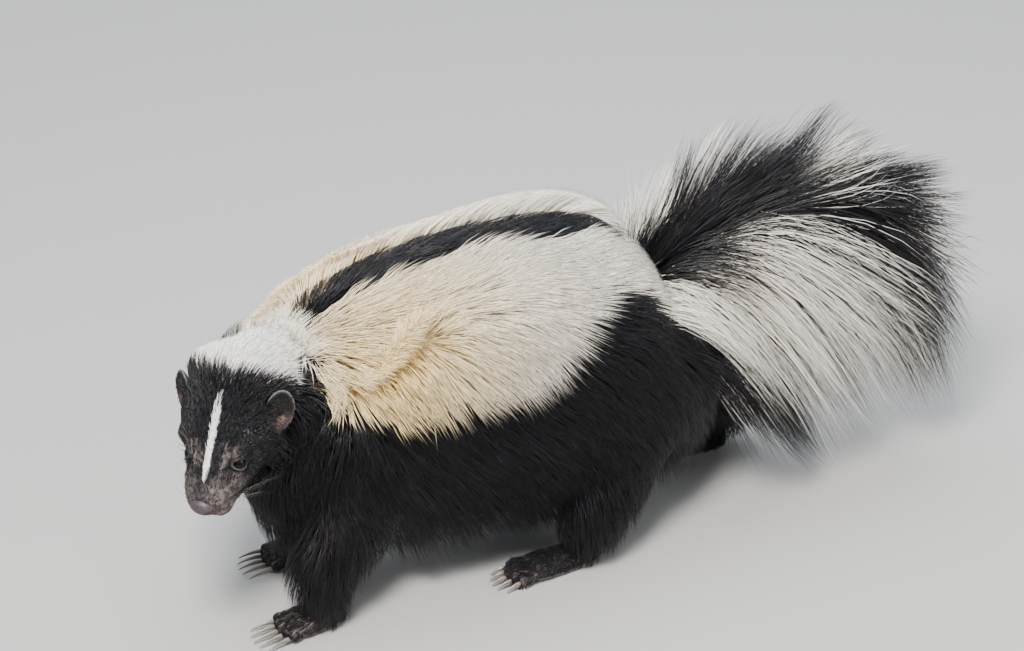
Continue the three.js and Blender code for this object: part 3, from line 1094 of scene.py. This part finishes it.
def grow_body(pelt, sizes, look):
    label = main_label(pelt)
    white = markings(pelt.middles, label)
    z = pelt.middles[:, 2]
    density = np.where(np.isin(label, [LABELS["trunk"], LABELS["neck"]]), 0.36 + 0.2 * white, 0)
    density = np.where((label == LABELS["trunk"]) & (z < 60), 0.2, density)
    hair, wide = sizes.back_hair / MM, sizes.tuft_width / MM

    def describe(root, normal, label, white):
        x, y, z = root.T
        neck = label == LABELS["neck"]
        middle = (white < 0.5) & (np.abs(y) < 20) & (z > 150)
        length = np.where(white > 0.5, hair * 1.08, hair)
        length = np.where(middle, hair * 0.72, length)
        rear = on_rump(root)
        standing = np.exp(-((np.linalg.norm(from_whorl(root), axis=1) / 20) ** 2))
        length = length * (1 + 0.9 * rear - 0.6 * standing)
        length = np.where(neck, np.interp(x, [-175, -150, -120], [0.7 * hair, 0.85 * hair, hair]), length)
        crest = smooth(150, 185, z) * smooth(90, 20, x) * smooth(-30, 20, y)
        length = np.where((white > 0.5) & (x < -115), length * 0.72, length)
        depth = np.where(white > 0.5, 14 + 9 * crest, 10) + 9 * standing
        depth = np.where(middle, 9.0, depth)
        hang = np.maximum(smooth(0.15, -0.6, normal[:, 2]) * smooth(120, 80, z), rear * 0.9)
        hang = np.maximum(hang, 0.85 * crest * smooth(20, -60, x))
        return length, depth, np.full(len(root), wide), hang

    grow(pelt, density * sizes.density, describe, 3, look, "body")


def grow_legs(pelt, sizes, look):
    label = main_label(pelt)
    z = pelt.middles[:, 2]
    density = np.where(np.isin(label, limb_labels("leg")), 0.28, 0)
    density = np.where(np.isin(label, limb_labels("paw")) & (z > 3.5), 1.1, density)
    hair, wide = sizes.back_hair / MM, sizes.tuft_width / MM

    def describe(root, normal, label, white):
        z = root[:, 2]
        paw = np.isin(label, limb_labels("paw"))
        length = np.interp(z, [6, 20, 45, 80], [7, 14, 26, hair])
        depth = np.interp(z, [6, 25, 60], [2, 6, 11])
        length = np.where(paw, np.where(normal[:, 2] > -0.3, 4.5, 0), length)
        depth = np.where(paw, 0.9, depth)
        hang = np.where(paw, 0, 0.55 * smooth(90, 50, z))
        return length, depth, np.where(paw, 0.5, wide), hang

    grow(pelt, density * sizes.density, describe, 3, look, "legs")


TAIL_LIMITS = ([-300, -84, 0.6], [338, 84, 252])


def grow_tail(pelt, sizes, look):
    """Long loose hair that fans out from the tail's core and droops."""
    rng = np.random.default_rng(SEEDS["tail"])
    label = main_label(pelt)
    x, y, z = pelt.middles.T
    rump = (x > 102 - 14 * (z > 150)) & (z > 112) & (np.abs(y) < 44)
    rump &= np.isin(label, [LABELS["trunk"], LABELS["tail"]])
    density = np.where(rump, 0.66, 0) + np.where((label == LABELS["tail"]) & (x > 122), 0.34, 0)
    root, normal, uv = pelt.sow(density * sizes.density, rng)
    label = np.full(len(root), LABELS["tail"])
    x, y, z = root.T
    angle = tail_angle(root)
    tangent = TAIL.axis(tail_share(root))[1]
    top = smooth(80, 25, np.abs(angle))[:, None]
    base = smooth(185, 115, x)[:, None]
    far = smooth(0, 14, y)[:, None]
    outward = normal * (1, 0.7, 1)
    lifted = top * base
    heading = tangent * (0.9 - 0.2 * lifted * far) + outward * (0.42 + 0.1 * lifted + 0.3 * lifted * far)
    heading = heading + np.array([0, 0, -0.35]) * (1 - top) * (1 - far * base)
    under = smooth(100, 125, np.abs(angle))[:, None]
    drop = base * (0.55 * (1 - top) + 0.55 * under) * (1 - far)
    heading = heading - np.array([0.2, 0, 0.6]) * drop + np.array([0, 0.1, 0.3]) * far * base
    heading = unit(heading + rng.normal(0, 0.11, heading.shape))
    length = sizes.tail_hair / MM * rng.uniform(0.6, 1.12, len(root))
    length *= np.interp(x, [94, 125, 160, 220, 266], [0.7, 1.12, 1.16, 0.95, 0.72])
    length *= (1 - 0.3 * top[:, 0]) * (1 - 0.26 * (under * base)[:, 0])
    s = np.linspace(0, 1, 6)[None, :, None]
    down = (0.6 + 0.2 * base) * (1 - top) * (1 - 0.7 * far * base) * rng.uniform(0.5, 1.2, (len(root), 1))
    down = (0.1 + down)[:, None, :]
    bow = rng.normal(0, 0.06, (len(root), 1, 3))
    paths = root[:, None] + length[:, None, None] * (heading[:, None] * s + (down * (0, 0, -1) + bow) * s**2)
    paths[:, 0] -= normal * 0.5
    low = 16 + 3 * rng.random((len(root), 1))
    height = paths[..., 2]
    paths[..., 2] = np.where(height < low, low + 12 * (np.exp((height - low) / 12) - 1), height)
    guides = pick_guides(root, HAIRS_PER_TAIL_LOCK, rng)
    paths = clump(clump(paths, pick_guides(root, HAIRS_PER_LOCK, rng), 0.6, rng), guides, 0.7, rng)
    paths = np.clip(paths, *TAIL_LIMITS)
    white = markings(root[guides], label)
    loose = rng.random(len(root)) < 0.15
    white = np.where(loose, markings(root, label), white)
    root_colour, tip_colour = hair_colours(root, label, white, look, rng)
    place_coat("tail", paths, normal, rng.uniform(0.42, 0.75, len(root)), root_colour, tip_colour, uv, look)


# Eyes, nose and claws
def build_eyes(look):
    material = wet_material("eye", 0.03, 0.0, 0.17, 0.0)
    for name, side in SIDES.items():
        bm = bmesh.new()
        centre, axes = eye_frame(side)
        blob(bm, centre, (EYE_RADIUS,) * 3, axes, 40)
        off = unit(bmesh_points(bm) - centre) @ axes[2]
        iris = smooth(0.80, 0.90, off)[:, None] * (1 - smooth(0.93, 0.95, off)[:, None])
        colours = np.array(look.pupil) * (1 - iris) + np.array(look.iris) * iris
        mesh = finish_bmesh("eyeball_" + name, bm, colours)
        place_piece("eyeball_" + name, mesh, material, "eye_gloss", "eye_" + name)


NOSE_AT = (3.2, 0, 1.0)


def build_nose(look):
    bm = bmesh.new()

    def shape(ball):
        out, wide, tall = ball.T
        for side in SIDES.values():
            pit = np.exp(-(((wide - side * 3.3) / 1.5) ** 2) - (((tall + 0.9) / 1.25) ** 2)) * (out < 0)
            flare = np.exp(-(((wide - side * 5.4) / 1.6) ** 2) - ((tall / 2.6) ** 2)) * (out < 0.5)
            ball = ball + np.stack([2.2 * pit - 0.5 * flare, 0.5 * side * flare, 0 * pit], axis=1)
        slit = np.exp(-(((out - 0.2) / 2.2) ** 2) - (((tall + 0.5) / 1.0) ** 2)) * (np.abs(wide) > 4.5)
        ball = ball - np.stack([0 * slit, 1.5 * slit * np.sign(wide), 0 * slit], axis=1)
        vent = np.exp(-((out + 3.0) ** 2 + (np.abs(wide) - 5.3) ** 2 + (tall - 0.6) ** 2) / 2.2)
        ball = ball + np.stack([1.2 * vent, -1.2 * vent * np.sign(wide), 0 * vent], axis=1)
        split = np.exp(-((wide / 0.55) ** 2)) * smooth(1.5, -1, tall) * (out < 0)
        return ball + np.stack([0.7 * split, 0 * split, 0 * split], axis=1)

    blob(bm, from_head(NOSE_AT), (5.0, 7.8, 6.2), HEAD_AXES, 56, shape)
    local = to_head(bmesh_points(bm)) - NOSE_AT
    out, wide, tall = local.T
    # Nostrils, side slits and vents are coloured near black: partly their own dark skin, partly painted shade
    # for openings deeper than the shallow pits in the pad.
    pits = np.exp(-(((np.abs(wide) - 3.3) / 1.5) ** 2) - (((tall + 0.9) / 1.3) ** 2))
    nostril_shade = (smooth(0.25, 0.8, pits) * (out < 0))[:, None]
    slits = smooth(1.2, 0.3, np.abs(tall + 0.5)) * smooth(3, 1.5, np.abs(out - 0.2)) * (np.abs(wide) > 4)
    vents = np.linalg.norm(np.abs(local) * (0, 1, 0) + local * (1, 0, 1) - (-2.4, 4.9, 0.6), axis=1)
    nostril_shade = np.maximum.reduce([nostril_shade, slits[:, None], smooth(2.2, 1.2, vents)[:, None]])
    top = smooth(0, 4, tall)[:, None]
    base = np.array(look.nose_front) * (1 - top) + np.array(look.nose_top) * top
    base = base * (1 + 0.4 * ripple(local, 1.3, 4))[:, None]
    colours = base * (1 - nostril_shade) + np.array(look.nostril) * nostril_shade
    mesh = finish_bmesh("nose_pad", bm, colours)
    place_piece("nose_pad", mesh, wet_material("nose", 0.42, 0.0, 0.4, 0.6), "nose_skin", "nose")


def build_claws(look):
    bm = bmesh.new()
    nodes = []
    for name in LEGS:
        height, claw = PAW_SIZES[name.split("_")[0]][2:]
        place, axes = paw_frame(name)
        for i, (fan, out, reach) in enumerate(toes_of(name)):
            share = np.array([-0.12, 0.2, 0.5, 0.8, 1.0])
            taper = 1.7 - 1.35 * share
            z = height * 0.3 * (1 - np.clip(share, 0, 1) ** 1.7) + 1.4 * share
            row = np.stack([-reach - 1 - claw * share, out + fan * claw * 0.12 * share, z], axis=1)
            sections = np.column_stack([row @ axes + place, 0.7 * taper, taper, taper])
            Form("claw", sections, cap=0.12, roundness=2).add_to(bm, 14, 14)
            nodes.append(f"claw_{name}_{i + 1}")
    points = bmesh_points(bm)
    grain = ripple(points, 3)[:, None] * 0.06
    mesh = finish_bmesh("claws", bm, np.array(look.horn) + grain * 0.5)
    place_piece("claws", mesh, wet_material("horn", 0.3, 0.3), "claw_horn", *nodes)


def build_whiskers(pelt, look):
    rng = np.random.default_rng(SEEDS["whiskers"])
    rows = []
    for side in SIDES.values():
        for k in range(12):
            local = aside([rng.uniform(5, 19), 13, rng.uniform(-11, -3)], side)
            rows.append((local, aside([0.55, 0.8, -0.25], side), rng.uniform(10, 26)))
        for k in range(5):
            rows.append((aside([34 + k, 15, 12], side), aside([0.5, 0.5, 0.7], side), rng.uniform(8, 16)))
    root, normal = pelt.settle(np.array([from_head(r[0]) for r in rows]))
    heading = unit(np.array([r[1] for r in rows]) @ HEAD_AXES + rng.normal(0, 0.16, (len(rows), 3)))
    length = np.array([r[2] for r in rows])
    s = np.linspace(0, 1, 7)[None, :, None]
    bend = np.array([0.12, 0, -0.3]) @ HEAD_AXES
    paths = root[:, None] + length[:, None, None] * (heading[:, None] * s + bend * s**2)
    paths[:, 0] -= normal * 0.4
    pale = np.tile([0.10, 0.09, 0.085], (len(rows), 1))
    width = np.full(len(rows), 0.22)
    place_coat("whiskers", paths, normal, width, pale, pale * 1.5, np.full((len(rows), 2), 0.5), look)


# Stage
FLOOR_COLOUR = (0.36, 0.352, 0.34, 1)
# Each light's place and target in metres, the length of its side, its power in watts and its tint.
LIGHTS = {
    "key": ((-0.7, -1.0, 1.7), (-0.05, 0, 0.12), 0.5, 98, (1.0, 0.97, 0.93)),
    "sky": ((0.3, 0.5, 2.0), (0, 0, 0.1), 2.8, 86, (0.86, 0.93, 1.0)),
    "fill": ((1.3, -1.4, 0.9), (0, 0, 0.1), 1.2, 20, (0.95, 0.97, 1.0)),
}
WORLD_COLOUR, WORLD_STRENGTH = (0.80, 0.84, 0.90, 1), 0.55
# The camera's angles are in degrees; its target, distance and lens are in millimetres.
CAMERA_AZIMUTH, CAMERA_ELEVATION, CAMERA_ROLL = -22.0, 28.0, 2.5
CAMERA_TARGET = np.array([15.2, 9.1, 143.8])
CAMERA_DISTANCE, CAMERA_LENS = 1900.0, 109.5


def build_camera(scene):
    a, e = math.radians(CAMERA_AZIMUTH), math.radians(CAMERA_ELEVATION)
    back = Vector((math.sin(a) * math.cos(e), -math.cos(a) * math.cos(e), math.sin(e)))
    data = bpy.data.cameras.new("camera")
    data.lens, data.sensor_width = CAMERA_LENS, 36
    data.clip_start, data.clip_end = 0.05, 50
    camera = bpy.data.objects.new("camera", data)
    scene.collection.objects.link(camera)
    target = Vector(to_row(CAMERA_TARGET))
    facing = back.to_track_quat("Z", "Y").to_matrix()
    turned = facing @ Matrix.Rotation(math.radians(-CAMERA_ROLL), 3, "Z")
    camera.matrix_world = Matrix.Translation(target + back * CAMERA_DISTANCE * MM) @ turned.to_4x4()
    scene.camera = camera


def area_light(scene, name, place, target, size, power, tint):
    data = bpy.data.lights.new(name, "AREA")
    data.size, data.energy, data.color = size, power, tint
    lamp = bpy.data.objects.new(name, data)
    scene.collection.objects.link(lamp)
    lamp.location = place
    lamp.rotation_euler = (Vector(target) - Vector(place)).to_track_quat("-Z", "Y").to_euler()


def build_stage(scene):
    bm = bmesh.new()
    bmesh.ops.create_grid(bm, x_segments=1, y_segments=1, size=12)
    mesh = bpy.data.meshes.new("floor")
    bm.to_mesh(mesh)
    bm.free()
    floor = bpy.data.objects.new("floor", mesh)
    scene.collection.objects.link(floor)
    tree = Tree("floor")
    roughness = tree.noise(3.0) * 0.1 + 0.75
    mesh.materials.append(tree.surface(Base_Color=FLOOR_COLOUR, Roughness=roughness))
    for name, row in LIGHTS.items():
        area_light(scene, name, *row)
    world = bpy.data.worlds.new("world")
    world.use_nodes = True
    background = world.node_tree.nodes["Background"]
    background.inputs["Color"].default_value = WORLD_COLOUR
    background.inputs["Strength"].default_value = WORLD_STRENGTH
    scene.world = world
    build_camera(scene)


# Operators
class SkunkOperator:
    bl_options = {"REGISTER", "UNDO"}

    def execute(self, context):
        self.build(context.scene.skunk_sizes, context.scene.skunk_look, context.scene)
        return {"FINISHED"}


def pelt():
    return Pelt(bpy.data.objects["skin"].data)


class SKUNK_OT_skin(SkunkOperator, bpy.types.Operator):
    """Builds the one skin of the head, body, legs and tail"""

    bl_idname, bl_label = "skunk.skin", "Skin"

    def build(self, sizes, look, scene):
        build_skin(sizes, look)


class SKUNK_OT_eyes(SkunkOperator, bpy.types.Operator):
    """Builds both eyes"""

    bl_idname, bl_label = "skunk.eyes", "Eyes"

    def build(self, sizes, look, scene):
        build_eyes(look)


class SKUNK_OT_nose(SkunkOperator, bpy.types.Operator):
    """Builds the nose pad"""

    bl_idname, bl_label = "skunk.nose", "Nose"

    def build(self, sizes, look, scene):
        build_nose(look)


class SKUNK_OT_claws(SkunkOperator, bpy.types.Operator):
    """Builds the claws of all the paws"""

    bl_idname, bl_label = "skunk.claws", "Claws"

    def build(self, sizes, look, scene):
        build_claws(look)


class SKUNK_OT_head_coat(SkunkOperator, bpy.types.Operator):
    """Grows the short hair of the face and the white cap"""

    bl_idname, bl_label = "skunk.head_coat", "Head Coat"

    def build(self, sizes, look, scene):
        grow_head(pelt(), sizes, look)


class SKUNK_OT_body_coat(SkunkOperator, bpy.types.Operator):
    """Grows the hair of the neck, back, flanks and belly"""

    bl_idname, bl_label = "skunk.body_coat", "Body Coat"

    def build(self, sizes, look, scene):
        grow_body(pelt(), sizes, look)


class SKUNK_OT_leg_coat(SkunkOperator, bpy.types.Operator):
    """Grows the hair of the legs and paws"""

    bl_idname, bl_label = "skunk.leg_coat", "Leg Coat"

    def build(self, sizes, look, scene):
        grow_legs(pelt(), sizes, look)


class SKUNK_OT_tail_coat(SkunkOperator, bpy.types.Operator):
    """Grows the long hair of the tail"""

    bl_idname, bl_label = "skunk.tail_coat", "Tail Coat"

    def build(self, sizes, look, scene):
        grow_tail(pelt(), sizes, look)


class SKUNK_OT_whiskers(SkunkOperator, bpy.types.Operator):
    """Adds the whiskers"""

    bl_idname, bl_label = "skunk.whiskers", "Whiskers"

    def build(self, sizes, look, scene):
        build_whiskers(pelt(), look)


class SKUNK_OT_stage(SkunkOperator, bpy.types.Operator):
    """Sets the floor, the lights and the camera"""

    bl_idname, bl_label = "skunk.stage", "Stage"

    def build(self, sizes, look, scene):
        build_stage(scene)


OPERATORS = (
    SKUNK_OT_skin,
    SKUNK_OT_eyes,
    SKUNK_OT_nose,
    SKUNK_OT_claws,
    SKUNK_OT_head_coat,
    SKUNK_OT_body_coat,
    SKUNK_OT_leg_coat,
    SKUNK_OT_tail_coat,
    SKUNK_OT_whiskers,
    SKUNK_OT_stage,
)


class SKUNK_PT_panel(bpy.types.Panel):
    """The steps that build the skunk, in order"""

    bl_idname, bl_label = "SKUNK_PT_panel", "Striped Skunk"
    bl_space_type, bl_region_type, bl_category = "VIEW_3D", "UI", "Skunk"

    def draw(self, context):
        for group in (context.scene.skunk_sizes, context.scene.skunk_look):
            for name in group.__annotations__:
                self.layout.prop(group, name)
        for operator in OPERATORS:
            self.layout.operator(operator.bl_idname)


CLASSES = (SkunkSizes, SkunkLook, *OPERATORS, SKUNK_PT_panel)


def register():
    for cls in CLASSES:
        bpy.utils.register_class(cls)
    bpy.types.Scene.skunk_sizes = bpy.props.PointerProperty(type=SkunkSizes)
    bpy.types.Scene.skunk_look = bpy.props.PointerProperty(type=SkunkLook)


def unregister():
    del bpy.types.Scene.skunk_look
    del bpy.types.Scene.skunk_sizes
    for cls in reversed(CLASSES):
        bpy.utils.unregister_class(cls)


def main():
    register()
    bpy.ops.skunk.skin()
    bpy.ops.skunk.eyes()
    bpy.ops.skunk.nose()
    bpy.ops.skunk.claws()
    bpy.ops.skunk.head_coat()
    bpy.ops.skunk.body_coat()
    bpy.ops.skunk.leg_coat()
    bpy.ops.skunk.tail_coat()
    bpy.ops.skunk.whiskers()
    bpy.ops.skunk.stage()


if __name__ == "__main__":
    main()
